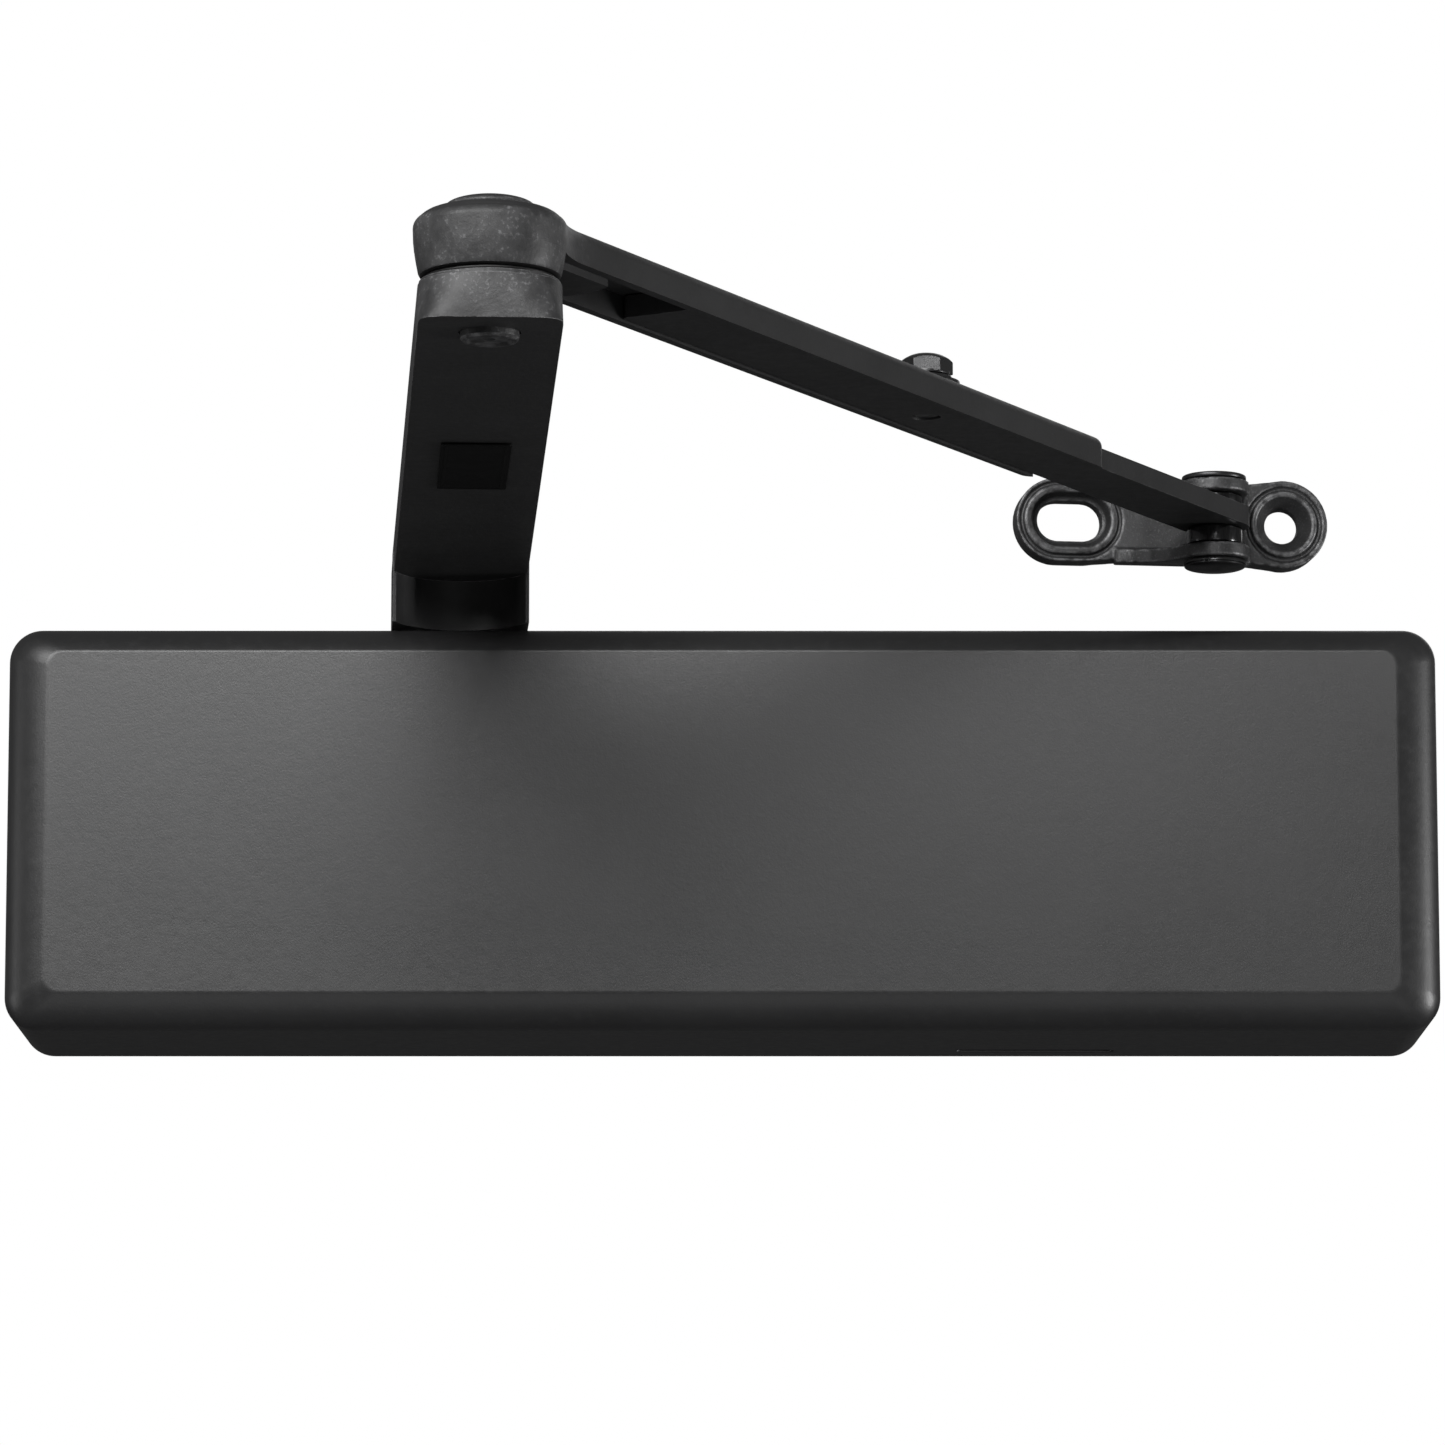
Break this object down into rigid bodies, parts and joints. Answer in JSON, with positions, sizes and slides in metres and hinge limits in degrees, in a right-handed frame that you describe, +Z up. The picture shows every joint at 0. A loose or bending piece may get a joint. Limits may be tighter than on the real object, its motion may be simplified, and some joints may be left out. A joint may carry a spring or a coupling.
{
  "type": "door closer",
  "caption": "Surface-mounted door closer: boxy black cover over a rack-and-pinion body, with a jointed main arm, adjustable forearm and slotted shoe.",
  "frame": {"origin": "middle of the closer body's flat rear face, on the plane of the door", "axes": "+X along the door toward the long end of the body, +Y into the door, +Z up along the spindle"},
  "size_m": [0.33, 0.3289, 0.1378],
  "materials": {
    "cover_plastic": "fine satin black moulding",
    "arm_paint": "satin black paint on steel",
    "shoe_casting": "grainy black paint on a casting",
    "body_casting": "grey casting",
    "steel": "machined steel",
    "dark_steel": "blackened steel",
    "spring_steel": "oil-hardened spring wire",
    "brass": "turned brass",
    "seal_rubber": "black nitrile",
    "label_black": "blank black label"
  },
  "bodies": {
    "closer": {"closer_body": "body_casting", "end_cap_left": "body_casting", "end_cap_right": "body_casting", "end_seal_left": "seal_rubber", "end_seal_right": "seal_rubber", "upper_bearing": "brass", "lower_bearing": "brass", "shaft_seal": "seal_rubber", "spindle_nut": "steel", "lower_cap": "body_casting", "cover_clip_left": "spring_steel", "cover_clip_right": "spring_steel", "main_spring": "spring_steel"},
    "cover": {"cover": "cover_plastic"},
    "main_arm": {"pinion": "steel", "main_arm": "arm_paint", "arm_screw": "dark_steel", "arm_washer": "dark_steel", "arm_label": "label_black", "elbow_pin": "arm_paint", "elbow_cap": "arm_paint", "elbow_washer": "dark_steel"},
    "piston": {"piston": "steel", "piston_seal": "seal_rubber"},
    "forearm": {"forearm": "arm_paint"},
    "rod": {"rod": "arm_paint", "clamp_washer": "dark_steel"},
    "clamp_screw": {"clamp_screw": "dark_steel"},
    "shoe": {"shoe": "shoe_casting", "shoe_pin": "dark_steel", "shoe_pin_ring": "dark_steel", "upper_bushing": "steel", "lower_bushing": "steel"},
    "spring_adjuster": {"spring_adjuster": "steel"},
    "spring_seat": {"spring_seat": "steel"},
    "latch_valve": {"latch_valve": "brass"},
    "sweep_valve": {"sweep_valve": "brass"},
    "backcheck_valve": {"backcheck_valve": "brass"}
  },
  "joints": [
    {"name": "spindle_turn", "type": "hinge", "parent": "closer", "child": "main_arm", "pos_m": [-0.062, -0.027, 0], "axis": [0, 0, 1], "range_deg": [0, 165], "stiffness_Nm_per_rad": 5, "springref_deg": -91.67},
    {"name": "piston_slide", "type": "slide", "parent": "closer", "child": "piston", "axis": [1, 0, 0], "range_m": [0, 0.02592], "deforming": ["main_spring"]},
    {"name": "elbow_turn", "type": "hinge", "parent": "main_arm", "child": "forearm", "pos_m": [-0.04603, -0.31005, 0.076], "axis": [0, 0, 1], "range_deg": [-130, 22]},
    {"name": "rod_slide", "type": "slide", "parent": "forearm", "child": "rod", "axis": [0.4904, 0.8715, 0], "range_m": [-0.035, 0.045]},
    {"name": "clamp_screw_turn", "type": "hinge", "parent": "rod", "child": "clamp_screw", "pos_m": [0.04471, -0.14883, 0.0875], "axis": [0, 0, 1], "range_deg": [0, 360]},
    {"name": "shoe_turn", "type": "hinge", "parent": "rod", "child": "shoe", "pos_m": [0.11607, -0.02203, 0.0787], "axis": [0, 0, 1], "range_deg": [-120, 50]},
    {"name": "cover_pull", "type": "slide", "parent": "closer", "child": "cover", "axis": [0, -1, 0], "range_m": [0, 0.07]},
    {"name": "latch_valve_turn", "type": "hinge", "parent": "closer", "child": "latch_valve", "pos_m": [-0.1232, -0.048, -0.0295], "axis": [0, -1, 0], "range_deg": [-180, 360]},
    {"name": "sweep_valve_turn", "type": "hinge", "parent": "closer", "child": "sweep_valve", "pos_m": [-0.1112, -0.048, -0.0295], "axis": [0, -1, 0], "range_deg": [-180, 360]},
    {"name": "backcheck_valve_turn", "type": "hinge", "parent": "closer", "child": "backcheck_valve", "pos_m": [-0.0992, -0.048, -0.0295], "axis": [0, -1, 0], "range_deg": [-180, 360]},
    {"name": "spring_adjuster_turn", "type": "hinge", "parent": "closer", "child": "spring_adjuster", "pos_m": [0.146, -0.027, 0], "axis": [1, 0, 0], "range_deg": [-725, 725]},
    {"name": "spring_seat_slide", "type": "slide", "parent": "closer", "child": "spring_seat", "axis": [1, 0, 0], "range_m": [-0.003, 0.003], "deforming": ["main_spring"]}
  ],
  "couplings": [
    {"joint": "piston_slide", "follows": "spindle_turn", "m_per_rad": 0.009},
    {"joint": "spring_adjuster_turn", "follows": "spring_seat_slide", "rad_per_m": 4188.8}
  ]
}
